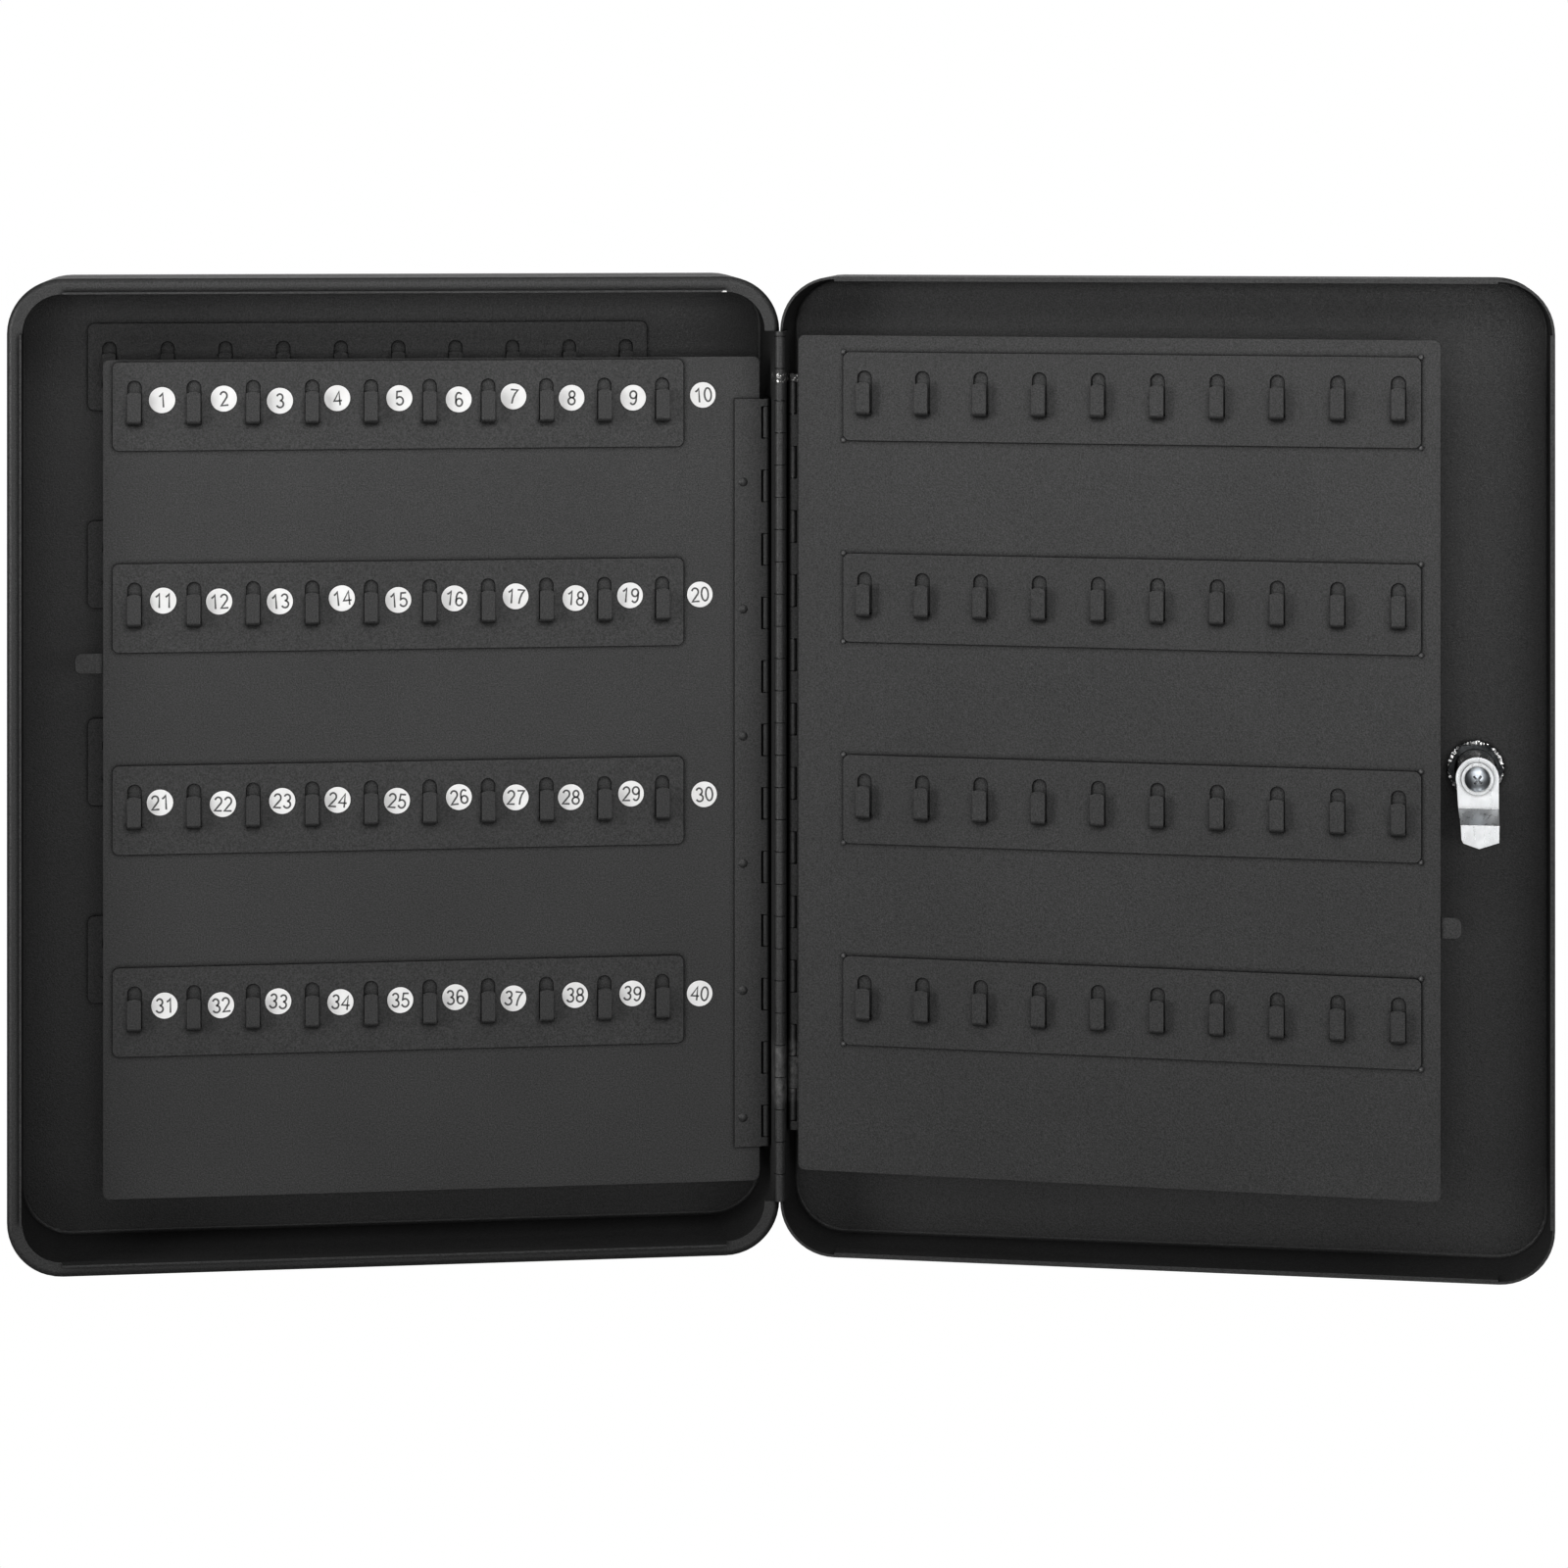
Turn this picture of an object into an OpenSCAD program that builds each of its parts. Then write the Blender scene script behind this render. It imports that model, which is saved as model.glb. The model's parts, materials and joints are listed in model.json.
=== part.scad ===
// Wall key cabinet with a hinged door and two swinging hook panels.
// Origin: centre of the back face of the body. +X right, +Y into the wall, +Z up.
// The cabinet is drawn open: the door turns about its outer hinge line.

/* [Cabinet] */
// Outer width of the body and of the door
body_w = 350; // [250:1:500]
// Outer height of the body and of the door
body_h = 450; // [300:1:700]
// Depth of the body from the wall to its front rim
body_d = 70; // [50:1:150]
// Depth of the door tray
door_d = 40; // [30:1:80]
// Thickness of the folded sheet
sheet_t = 1.2; // [0.8:0.1:2]
// Radius of the four outer corners seen from the front
corner_r = 25; // [10:1:40]
// Radius of the long edges at the back and the rim of the body and the front of the door
edge_r = 3; // [2:0.5:8]
// Gap between the body rim and the door rim when closed
rim_gap = 0.8; // [0.4:0.1:2]
// Width of the inward flange round the body rim
flange_w = 7; // [4:0.5:12]
// Height of the lip that stands forward from the flange
lip_h = 5; // [2:0.5:8]
// Thickness of the lip
lip_t = 1; // [0.6:0.1:2]
// Extra thickness of the folded hem inside the door rim
hem_t = 0.9; // [0.5:0.1:2]
// Depth of the hem
hem_d = 8; // [4:1:15]

/* [Pose] */
// Angle of the open door, from closed
door_open = 165; // [0:1:175]
// Angle of the door panel, from lying flat in the door
panel_2_swing = 3; // [0:0.5:75]

/* [Panels] */
// Distance from the body rim back to the face of panel 1
panel_1_depth = 26; // [15:1:40]
// Width of panel 1 from its hinge axis to its free edge
panel_1_w = 305.2; // [200:0.1:400]
// Bottom edge of panel 1
panel_1_bottom = -197; // [-300:1:0]
// Top edge of panel 1
panel_1_top = 187; // [0:1:300]
// Distance from the door rim back to the hinge axis of panel 2
panel_2_depth = 6.6; // [5:0.1:15]
// Width of panel 2 from its hinge axis to its free edge
panel_2_w = 295; // [200:0.1:400]
// Bottom edge of panel 2
panel_2_bottom = -186; // [-300:1:0]
// Top edge of panel 2
panel_2_top = 198; // [0:1:300]
// Thickness of the panel sheet
panel_t = 1; // [0.8:0.1:2]
// Corner radius of the panel sheet
panel_corner_r = 3; // [1:0.5:10]

/* [Hook rails] */
// Length of a hook rail
rail_len = 262; // [100:1:400]
// Height of a hook rail
rail_h = 40.5; // [20:0.5:60]
// Thickness of a hook rail
rail_t = 1; // [0.8:0.1:2]
// Corner radius of a hook rail
rail_corner_r = 3; // [1:0.5:10]
// Distance from one rail down to the next
rail_pitch = 92.4; // [60:0.1:140]
// Distance between hooks
hook_pitch = 26.9; // [15:0.1:50]
// Width of a hook
hook_w = 6.2; // [4:0.1:10]
// Height of a hook
hook_h = 15.3; // [8:0.1:30]
// How far a hook stands off its rail, to its outer face
hook_out = 5; // [3:0.1:12]
// Height of the window the hook was lanced from
window_h = 20.3; // [10:0.1:40]
// Distance from the rail top down to the window top
window_drop = 8.4; // [4:0.1:20]
// Top of the highest rail on the back wall
back_rail_top = 202; // [0:0.5:300]
// Top of the highest rail on panel 1
panel_1_rail_top = 186; // [0:0.5:300]
// Top of the highest rail on panel 2
panel_2_rail_top = 190.4; // [0:0.1:300]
// Distance from the hinge side of the body to the nearest rail end on the back wall
back_rail_start = 56; // [10:1:120]
// Distance from the axis of panel 1 to the nearest rail end
panel_1_rail_start = 38.9; // [20:0.1:80]
// Distance from the axis of panel 2 to the nearest rail end
panel_2_rail_start = 24.5; // [18:0.1:80]

/* [Hinges] */
// Distance between knuckles on all three hinges
knuckle_pitch = 14.8; // [8:0.1:30]
// Length of the door hinge
door_hinge_len = 400; // [200:1:600]
// Length of the cut knuckle at the top of the door hinge
door_first_knuckle = 2.4; // [1:0.1:14]
// Radius of a door hinge knuckle
door_barrel_r = 2.5; // [1.8:0.1:4]
// Radius of the door hinge pin
door_pin_r = 1.1; // [0.8:0.1:2]
// Thickness of a door hinge leaf
door_leaf_t = 1.3; // [0.6:0.1:2]
// Width of a door hinge leaf from its axis
door_leaf_w = 14; // [8:1:25]
// Length of a panel hinge
panel_hinge_len = 348.4; // [150:0.1:600]
// Length of the cut knuckle at the top of a panel hinge
panel_first_knuckle = 3.6; // [1:0.1:14]
// Radius of a panel hinge knuckle
panel_barrel_r = 2.2; // [1.8:0.1:4]
// Radius of a panel hinge pin
panel_pin_r = 1.1; // [0.8:0.1:2]
// Thickness of a panel hinge leaf
panel_leaf_t = 0.8; // [0.6:0.1:2]
// Width of a panel hinge leaf from its axis
panel_leaf_w = 15; // [8:1:25]
// Centre height of the hinge of panel 1
panel_1_hinge_z = -6.9; // [-100:0.1:100]
// Centre height of the hinge of panel 2
panel_2_hinge_z = 5.8; // [-100:0.1:100]
// Radial clearance between a pin and its knuckles
pin_clear = 0.05; // [0.01:0.01:0.1]
// Gap between neighbouring knuckles
knuckle_gap = 0.3; // [0.1:0.1:1]

/* [Lock] */
// Distance from the free side of the door to the lock axis
lock_inset = 34; // [20:1:60]
// Radius of the lock body
lock_r = 9.5; // [8:0.5:14]
// Distance across the two flats of the lock body
lock_flats = 16.5; // [12:0.5:24]
// Radius of the lock bezel
bezel_r = 11.5; // [10:0.5:18]
// Thickness of the lock bezel
bezel_t = 2.5; // [1:0.1:5]
// Radius of the turning plug
plug_r = 6; // [4:0.5:8]
// Distance from the door rim back to the near face of the cam
cam_depth = 7.8; // [3:0.1:20]
// Thickness of the cam
cam_t = 2; // [1:0.1:4]
// Width of the cam at its pivot
cam_w = 19.4; // [12:0.2:30]
// Distance from the lock axis to the tip of the cam
cam_len = 30; // [20:1:50]
// How far the cam is cranked forward
cam_crank = 10; // [0:0.5:15]

/* [Wall fixing] */
// Distance between the wall holes across the cabinet
wall_hole_x = 220; // [100:1:400]
// Distance between the wall holes up the cabinet
wall_hole_z = 270; // [100:1:500]
// Radius of a wall hole
wall_hole_r = 4; // [2:0.5:6]

/* [Markers] */
// Radius of a number disc
disc_r = 6; // [4:0.5:10]
// Thickness of a number disc
disc_t = 0.2; // [0.1:0.05:1]
// Distance from the rail top down to the disc centre
disc_drop = 17.4; // [8:0.1:30]
// How far the discs stray from their even places
disc_stray = 1.1; // [0:0.1:2]

/* [Output] */
// Which node to draw

/* [Hidden] */
$fn = 48;
paint = [0.13, 0.13, 0.135];
paint_light = [0.24, 0.24, 0.245];
zinc = [0.72, 0.72, 0.70];
white = [0.93, 0.93, 0.92];
half_w = body_w / 2;
half_h = body_h / 2;
rim_y = -body_d;
door_rim_y = rim_y - rim_gap;
door_axis = [half_w, rim_y - rim_gap / 2];
panel_1_axis = [half_w - sheet_t - panel_barrel_r, rim_y + panel_1_depth + panel_barrel_r - panel_leaf_t];
panel_2_axis = [half_w - sheet_t - door_leaf_t - panel_barrel_r - 0.1, door_rim_y - panel_2_depth];
knuckle_clear = 0.3;
door_relief = door_barrel_r + knuckle_clear;
leaf_face = -panel_barrel_r + panel_leaf_t;
plain_face = leaf_face + panel_t;
sheet_start = panel_barrel_r + 1.1;
rail_margin = (rail_len - 9 * hook_pitch) / 2;
rivet_r = 1;
rivet_inset = 5;
rivet_head_r = 2.1;
weld_r = 1.2;
panel_2_shift = panel_barrel_r - leaf_face;
lock_x = -half_w + lock_inset;
door_face_y = door_rim_y - door_d;
cam_y = door_rim_y - cam_depth;
plug_end_y = cam_y - cam_t;
square_w = 7;
slot_w = 2.4;
slot_h = 7.6;
key_t = 2.1;
key_h = 6.9;
wafer_n = 5;

// ---- shared shapes ----

// Rectangle with four round corners, centred.
module round_rect(w, h, r) {
    square([w - 2 * r, h], center = true);
    square([w, h - 2 * r], center = true);
    for (x = [-1, 1], z = [-1, 1]) {
        translate([x * (w / 2 - r), z * (h / 2 - r)]) circle(r);
    }
}

// Plate standing in the XZ plane, from y0 towards +Y.
module upright(y0, t) {
    translate([0, y0 + t, 0]) rotate([90, 0, 0]) linear_extrude(t) children();
}

// Section of a tray from a corner centre outwards, with its far edge rounded, and its near edge too if both.
module tray_section(r, d, e, both) {
    square([r - e, d]);
    translate([0, both ? e : 0]) square([r, both ? d - 2 * e : d - e]);
    translate([r - e, d - e]) quadrant(e);
    if (both) {
        translate([r - e, e]) mirror([0, 1]) quadrant(e);
    }
}

module quadrant(e) {
    intersection() {
        circle(e);
        square(e);
    }
}

// Solid block with round corners and one or both rims rounded, depth along +Y from the origin.
module tray_block(w, h, d, r, e, both) {
    sx = w / 2 - r;
    sz = h / 2 - r;
    translate([-sx, 0, -sz]) cube([2 * sx, d, 2 * sz]);
    for (m = [0, 1]) {
        mirror([m, 0, 0]) translate([sx, 0, -sz]) linear_extrude(2 * sz) tray_section(r, d, e, both);
    }
    for (m = [0, 1]) {
        mirror([0, 0, m]) translate([-sx, 0, sz]) rotate([90, 0, 90]) linear_extrude(2 * sx)
            mirror([1, -1]) tray_section(r, d, e, both);
    }
    for (mx = [0, 1], mz = [0, 1]) {
        mirror([mx, 0, 0]) mirror([0, 0, mz]) translate([sx, 0, sz]) tray_corner(r, d, e, both);
    }
}

// Quarter of a turned tray section.
module tray_corner(r, d, e, both) {
    intersection() {
        rotate([-90, 0, 0]) rotate_extrude() tray_section(r, d, e, both);
        cube([r, d, r]);
    }
}

// Row of knuckles and the plate they are rolled from. The axis is Z through the origin.
// The plate lies on the -X side and runs towards +Y. parity picks every other knuckle.
// first is the length of the cut knuckle at the top. inset thins the plate on its outer side.
module hinge_leaf(len, first, parity, barrel_r, bore_r, t, w, inset = 0) {
    count = ceil((len - first) / knuckle_pitch) + 1;
    relief = barrel_r + knuckle_clear;
    difference() {
        union() {
            translate([-barrel_r + inset, relief, -len / 2]) cube([t - inset, w - relief, len]);
            for (i = [parity : 2 : count - 1]) {
                top = knuckle_top(len, first, i) - knuckle_gap / 2;
                h = top - knuckle_top(len, first, i + 1) - knuckle_gap / 2;
                translate([0, 0, top - h]) {
                    cylinder(r = barrel_r, h = h);
                    translate([-barrel_r + inset, 0, 0]) cube([t - inset, relief + 0.5, h]);
                }
            }
        }
        translate([0, 0, -len / 2 - 1]) cylinder(r = bore_r, h = len + 2);
    }
}

function knuckle_top(len, first, i) =
    max(-len / 2, len / 2 - (i == 0 ? 0 : first + (i - 1) * knuckle_pitch));

// Straight hinge pin.
module hinge_pin(len, r) {
    translate([0, 0, -len / 2]) cylinder(r = r, h = len);
}

// One lanced hook. The rail face is y = 0 and the hook stands towards -Y.
module hook() {
    foot_r = 2;
    translate([-hook_w / 2, 0, 0]) rotate([90, 0, 90]) linear_extrude(hook_w) {
        translate([-hook_out + foot_r, 0]) square([hook_out - foot_r + rail_t / 2, rail_t]);
        translate([-hook_out + foot_r, foot_r]) difference() {
            intersection() {
                circle(foot_r);
                translate([-foot_r, -foot_r]) square(foot_r);
            }
            circle(foot_r - rail_t);
        }
    }
    upright(-hook_out, rail_t) {
        intersection() {
            translate([-hook_w / 2, foot_r]) square([hook_w, hook_h - foot_r]);
            translate([0, hook_h - hook_w * 0.9]) circle(hook_w * 0.9);
        }
        translate([-hook_w / 2, foot_r]) square([hook_w, hook_h / 2]);
    }
}

// Opening left in the rail by a lanced hook, with an arched top.
module hook_window() {
    w = hook_w + 0.5;
    translate([-w / 2, -window_drop - window_h + rail_t]) square([w, window_h - rail_t - w / 2]);
    translate([0, -window_drop - w / 2]) circle(w / 2);
}

// Hook rail. Top left corner at the origin, mounting face y = 0, hooks towards -Y.
module hook_rail(holes) {
    difference() {
        upright(-rail_t, rail_t) {
            translate([rail_len / 2, -rail_h / 2]) round_rect(rail_len, rail_h, rail_corner_r);
        }
        upright(-rail_t - 1, rail_t + 2) {
            for (i = [0 : 9]) {
                translate([rail_margin + i * hook_pitch, 0]) hook_window();
            }
            if (holes) {
                rivet_spots() circle(rivet_r + 0.03);
            }
        }
    }
    for (i = [0 : 9]) {
        translate([rail_margin + i * hook_pitch, -rail_t, -window_drop - window_h]) hook();
    }
}

// The four fixing points of a rail.
module rivet_spots() {
    for (x = [rivet_inset, rail_len - rivet_inset], z = [-rivet_inset, -rail_h + rivet_inset]) {
        translate([x, z]) children();
    }
}

// Rivet along +Y from the origin: a flush end, a shank of length l and a low round head.
module rivet(l) {
    rotate([-90, 0, 0]) {
        cylinder(r = rivet_r, h = l);
        translate([0, 0, l]) intersection() {
            cylinder(r = rivet_head_r, h = 0.7);
            translate([0, 0, -3]) sphere(3.7, $fn = 64);
        }
    }
}

// ---- a swinging panel, drawn flat about its axis, reaching towards -X ----

function rail_z(top, i) = top - i * rail_pitch;

module panel_sheet(w, bottom, top, rail_start, rail_top, hinge_z, riveted) {
    h = top - bottom;
    difference() {
        upright(leaf_face, panel_t) {
            translate([-(w + sheet_start) / 2, (top + bottom) / 2]) {
                round_rect(w - sheet_start, h, panel_corner_r);
            }
        }
        upright(leaf_face - 1, panel_t + 2) {
            for (i = [0 : 3]) {
                translate([-rail_start - rail_len, rail_z(rail_top, i)]) if (riveted) {
                    rivet_spots() circle(rivet_r + 0.03);
                }
            }
            leaf_rivet_spots(hinge_z) circle(rivet_r + 0.03);
        }
    }
}

module leaf_rivet_spots(hinge_z) {
    for (i = [0 : 5]) {
        translate([-panel_leaf_w + 4, hinge_z - 12.5 + (i - 2.5) * 59.2]) children();
    }
}

// Leaf on the sheet. far = 1 puts its plate on the +Y side of the barrel.
module panel_leaf(hinge_z, far) {
    plate_y = far == 1 ? panel_barrel_r - panel_leaf_t : -panel_barrel_r;
    difference() {
        translate([0, 0, hinge_z]) mirror([0, far, 0]) rotate([0, 0, 90]) hinge_leaf(
            panel_hinge_len, panel_first_knuckle, 0, panel_barrel_r, panel_pin_r + pin_clear,
            panel_leaf_t, panel_leaf_w);
        upright(plate_y - 1, panel_leaf_t + 2) leaf_rivet_spots(hinge_z) {
            circle(rivet_r + 0.03);
        }
    }
}

module panel_leaf_rivets(hinge_z) {
    for (i = [0 : 5]) {
        translate([-panel_leaf_w + 4, plain_face, hinge_z - 12.5 + (i - 2.5) * 59.2]) {
            mirror([0, 1, 0]) rivet(panel_t + panel_leaf_t);
        }
    }
}

// Rail on the face the hinge leaf is on.
module panel_leaf_side_rail(rail_start, rail_top, i, riveted) {
    translate([-rail_start - rail_len, leaf_face, rail_z(rail_top, i)]) hook_rail(riveted);
}

// Rail on the plain face.
module panel_plain_side_rail(rail_start, rail_top, i, riveted) {
    translate([-rail_start, plain_face, rail_z(rail_top, i)]) rotate([0, 0, 180]) hook_rail(riveted);
}

module panel_rivets(rail_start, rail_top) {
    for (i = [0 : 3], x = [rivet_inset, rail_len - rivet_inset], z = [rivet_inset, rail_h - rivet_inset]) {
        translate([-rail_start - x, leaf_face - rail_t, rail_z(rail_top, i) - z]) {
            rivet(2 * rail_t + panel_t);
        }
    }
}

// Weld beads at the four corners of each rail, on both faces of the sheet.
module panel_welds(rail_start, rail_top) {
    for (i = [0 : 3], x = [0, rail_len], z = [0, rail_h]) {
        translate([-rail_start - x, 0, rail_z(rail_top, i) - z]) {
            translate([0, plain_face, 0]) weld_bead();
            translate([0, leaf_face, 0]) mirror([0, 1, 0]) weld_bead();
        }
    }
}

// Half ball standing along +Y.
module weld_bead() {
    intersection() {
        sphere(weld_r);
        translate([-weld_r, 0, -weld_r]) cube([2 * weld_r, weld_r, 2 * weld_r]);
    }
}

module wall_leaf(hinge_z, side) {
    translate([0, 0, hinge_z]) mirror([1, 0, 0]) mirror([0, side, 0]) hinge_leaf(
        panel_hinge_len, panel_first_knuckle, 1, panel_barrel_r, panel_pin_r + pin_clear,
        panel_leaf_t, panel_leaf_w);
}

module finger_tab(w, out, z, face) {
    upright(face, panel_t) {
        translate([-w - out + 3, z - 4.7]) square([out + 1.3, 9.4]);
        translate([-w - out, z - 1.7]) square([out, 3.4]);
        for (m = [-1, 1]) {
            translate([-w - out + 3, z + m * 1.7]) circle(3);
        }
    }
}

// ---- placements ----

module in_panel_1() {
    translate([panel_1_axis[0], panel_1_axis[1], 0]) children();
}

module in_door() {
    translate([door_axis[0], door_axis[1], 0]) rotate([0, 0, door_open]) {
        translate([-door_axis[0], -door_axis[1], 0]) children();
    }
}

module in_panel_2() {
    in_door() translate([panel_2_axis[0], panel_2_axis[1], 0]) rotate([0, 0, -panel_2_swing]) children();
}

// Panel 2 has its barrel behind the sheet, so the sheet and what it carries stand in front of the axis.
module on_panel_2() {
    in_panel_2() translate([0, panel_2_shift, 0]) children();
}

// The lock axis runs along Y in the closed door. Children are drawn along +Z, out of the door front.
module on_lock(y) {
    in_door() translate([lock_x, y, 0]) rotate([90, 0, 0]) children();
}

// ---- body ----

module body_shell() {
    color(paint) difference() {
        union() {
            difference() {
                translate([0, rim_y, 0]) tray_block(body_w, body_h, body_d, corner_r, edge_r, true);
                translate([0, rim_y + sheet_t, 0]) tray_block(
                    body_w - 2 * sheet_t, body_h - 2 * sheet_t, body_d - 2 * sheet_t,
                    corner_r - sheet_t, edge_r - sheet_t, true);
                upright(rim_y - 1, sheet_t + edge_r) {
                    round_rect(body_w - 2 * flange_w, body_h - 2 * flange_w, corner_r - flange_w);
                }
            }
            rim_lip();
        }
        translate([half_w - flange_w - 1, rim_y - 1, -door_hinge_len / 2]) {
            cube([flange_w + 1 - sheet_t, sheet_t + 2, door_hinge_len]);
        }
        translate([half_w - edge_r, rim_y - 1, -door_hinge_len / 2]) {
            cube([edge_r + 1, edge_r + 1, door_hinge_len]);
        }
        upright(-sheet_t - 1, sheet_t + 2) {
            for (x = [-1, 1], z = [-1, 1]) {
                translate([x * wall_hole_x / 2, z * wall_hole_z / 2]) circle(wall_hole_r);
            }
        }
    }
}

// Lip standing forward from the inner edge of the flange on three sides.
module rim_lip() {
    lx = half_w - flange_w;
    lz = half_h - flange_w;
    run_x = body_w - 2 * corner_r;
    run_z = body_h - 2 * corner_r;
    y0 = rim_y - lip_h;
    for (m = [0, 1]) {
        mirror([0, 0, m]) translate([-run_x / 2, y0, lz]) cube([run_x, lip_h + sheet_t, lip_t]);
    }
    translate([-lx - lip_t, y0, -run_z / 2]) cube([lip_t, lip_h + sheet_t, run_z]);
}

module body_rail(i) {
    color(paint) translate([half_w - back_rail_start - rail_len, -sheet_t, back_rail_top - i * rail_pitch]) {
        hook_rail(false);
    }
}

module body_rail_1() { body_rail(0); }
module body_rail_2() { body_rail(1); }
module body_rail_3() { body_rail(2); }
module body_rail_4() { body_rail(3); }

module door_hinge_body_leaf() {
    color(paint) translate([door_axis[0], door_axis[1], 0]) hinge_leaf(
        door_hinge_len, door_first_knuckle, 0, door_barrel_r, door_pin_r + pin_clear,
        door_leaf_t, door_leaf_w, 0.08);
}

module door_hinge_pin() {
    color(zinc) translate([door_axis[0], door_axis[1], 0]) hinge_pin(door_hinge_len, door_pin_r);
}

module panel_1_hinge_wall_leaf() {
    color(paint) in_panel_1() wall_leaf(panel_1_hinge_z, 0);
}

module panel_1_hinge_pin() {
    color(zinc) in_panel_1() translate([0, 0, panel_1_hinge_z]) hinge_pin(panel_hinge_len, panel_pin_r);
}

// ---- door ----

module door_shell() {
    color(paint) in_door() difference() {
        union() {
            difference() {
                translate([0, door_rim_y, 0]) mirror([0, 1, 0]) {
                    tray_block(body_w, body_h, door_d, corner_r, edge_r, false);
                }
                translate([0, door_rim_y + 1, 0]) mirror([0, 1, 0]) tray_block(
                    body_w - 2 * sheet_t, body_h - 2 * sheet_t, door_d - sheet_t + 1,
                    corner_r - sheet_t, edge_r - sheet_t, false);
            }
            door_hem();
        }
        translate([half_w - sheet_t - 1, door_axis[1] - door_relief, -door_hinge_len / 2]) {
            cube([sheet_t + 2, door_relief + 1, door_hinge_len]);
        }
        upright(door_face_y - 1, sheet_t + 2) translate([lock_x, 0]) intersection() {
            circle(lock_r + 0.15);
            square([lock_flats + 0.3, 3 * lock_r], center = true);
        }
    }
}

// Folded hem inside the door rim on three sides.
module door_hem() {
    run_x = body_w - 2 * corner_r;
    run_z = body_h - 2 * corner_r;
    y0 = door_rim_y - hem_d;
    t = hem_t + sheet_t / 2;
    for (m = [0, 1]) {
        mirror([0, 0, m]) translate([-run_x / 2, y0, half_h - sheet_t - hem_t]) cube([run_x, hem_d, t]);
    }
    translate([-half_w + sheet_t / 2, y0, -run_z / 2]) cube([t, hem_d, run_z]);
}

module door_hinge_door_leaf() {
    color(paint) in_door() translate([door_axis[0], door_axis[1], 0]) mirror([0, 1, 0]) hinge_leaf(
        door_hinge_len, door_first_knuckle, 1, door_barrel_r, door_pin_r + pin_clear,
        door_leaf_t, door_leaf_w, 0.08);
}

module panel_2_hinge_wall_leaf() {
    color(paint) in_door() translate([panel_2_axis[0], panel_2_axis[1], 0]) wall_leaf(panel_2_hinge_z, 1);
}

module panel_2_hinge_pin() {
    color(zinc) in_door() translate([panel_2_axis[0], panel_2_axis[1], panel_2_hinge_z]) {
        hinge_pin(panel_hinge_len, panel_pin_r);
    }
}

// ---- lock ----

module lock_outline(r, flats) {
    intersection() {
        circle(r);
        square([flats, 3 * r], center = true);
    }
}

module lock_body() {
    len = plug_end_y - 0.1 - door_face_y;
    color(zinc) on_lock(door_face_y) difference() {
        union() {
            translate([0, 0, -len]) linear_extrude(len) lock_outline(lock_r, lock_flats);
            cylinder(r = bezel_r, h = bezel_t);
        }
        translate([0, 0, -len - 1]) cylinder(r = plug_r + 0.05, h = len + bezel_t + 2);
        translate([0, 0, bezel_t - 1.5]) cylinder(r = plug_r + 1.55, h = 2);
    }
}

module lock_nut() {
    color([0.22, 0.22, 0.22]) on_lock(door_face_y + sheet_t + 0.8) translate([0, 0, -3.5]) difference() {
        cylinder(r = 12.8, h = 3.5, $fn = 6);
        translate([0, 0, -1]) cylinder(r = lock_r + 0.05, h = 6);
    }
}

module lock_tooth_washer() {
    color(zinc) on_lock(door_face_y + sheet_t) translate([0, 0, -0.8]) difference() {
        union() {
            cylinder(r = 11.4, h = 0.8);
            for (i = [0 : 23]) {
                rotate([0, 0, i * 15]) translate([10, -0.8, 0]) cube([2.5, 1.6, 0.8]);
            }
        }
        translate([0, 0, -1]) cylinder(r = lock_r + 0.15, h = 3);
    }
}

module lock_plug() {
    len = plug_end_y - door_face_y;
    color(zinc) on_lock(door_face_y) difference() {
        union() {
            translate([0, 0, -len]) cylinder(r = plug_r, h = len + bezel_t);
            translate([0, 0, bezel_t - 1.5]) cylinder(r = plug_r + 1.5, h = 1.5);
            translate([-square_w / 2, -square_w / 2, -len - cam_t + 0.1]) cube([square_w, square_w, cam_t]);
        }
        translate([-slot_w / 2, -slot_h / 2, bezel_t - 24.5]) cube([slot_w, slot_h, 26]);
        for (i = [0 : wafer_n - 1]) {
            translate([-5, -plug_r - 1, wafer_z(i) - 0.6]) cube([10, 2 * plug_r + 2, 1.2]);
        }
        translate([0, 0, -len - cam_t - 1]) cylinder(r = 2.5, h = 8);
    }
}

function wafer_z(i) = -3.5 - i * 3.2;

module lock_wafers() {
    color([0.72, 0.6, 0.32]) on_lock(door_face_y) for (i = [0 : wafer_n - 1]) {
        translate([0, 0, wafer_z(i) - 0.5]) difference() {
            intersection() {
                translate([-4.9, -plug_r, 0]) cube([9.8, 2 * plug_r, 1]);
                translate([0, 0, -1]) cylinder(r = plug_r - 0.05, h = 3);
            }
            translate([-1.7, -slot_h / 2, -1]) cube([3.4, slot_h, 3]);
        }
    }
}

// Cranked cam: a wide pivot end, a slope and a narrower pointed tip, hanging down when unlocked.
module lock_cam() {
    a = 14;
    b = 20;
    color(zinc) in_door() translate([lock_x, cam_y, 0]) difference() {
        union() {
            rotate([90, 0, 0]) cylinder(r = cam_w / 2, h = cam_t);
            intersection() {
                cam_side(a, b);
                cam_front(a, b);
            }
        }
        translate([-square_w / 2 - 0.1, -cam_t - 2, -square_w / 2 - 0.1]) {
            cube([square_w + 0.2, cam_t + 3, square_w + 0.2]);
        }
    }
}

// The cam seen from its edge: flat, a slope between heights -a and -b, and flat again.
module cam_side(a, b) {
    rotate([90, 0, 90]) translate([0, 0, -cam_w / 2]) linear_extrude(cam_w) polygon([
        [-cam_t, 2],
        [0, 2],
        [0, -a + 0.6],
        [cam_crank, -b + 0.6],
        [cam_crank, -cam_len - 5],
        [cam_crank - cam_t, -cam_len - 5],
        [cam_crank - cam_t, -b - 0.6],
        [-cam_t, -a - 0.6]
    ]);
}

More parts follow.
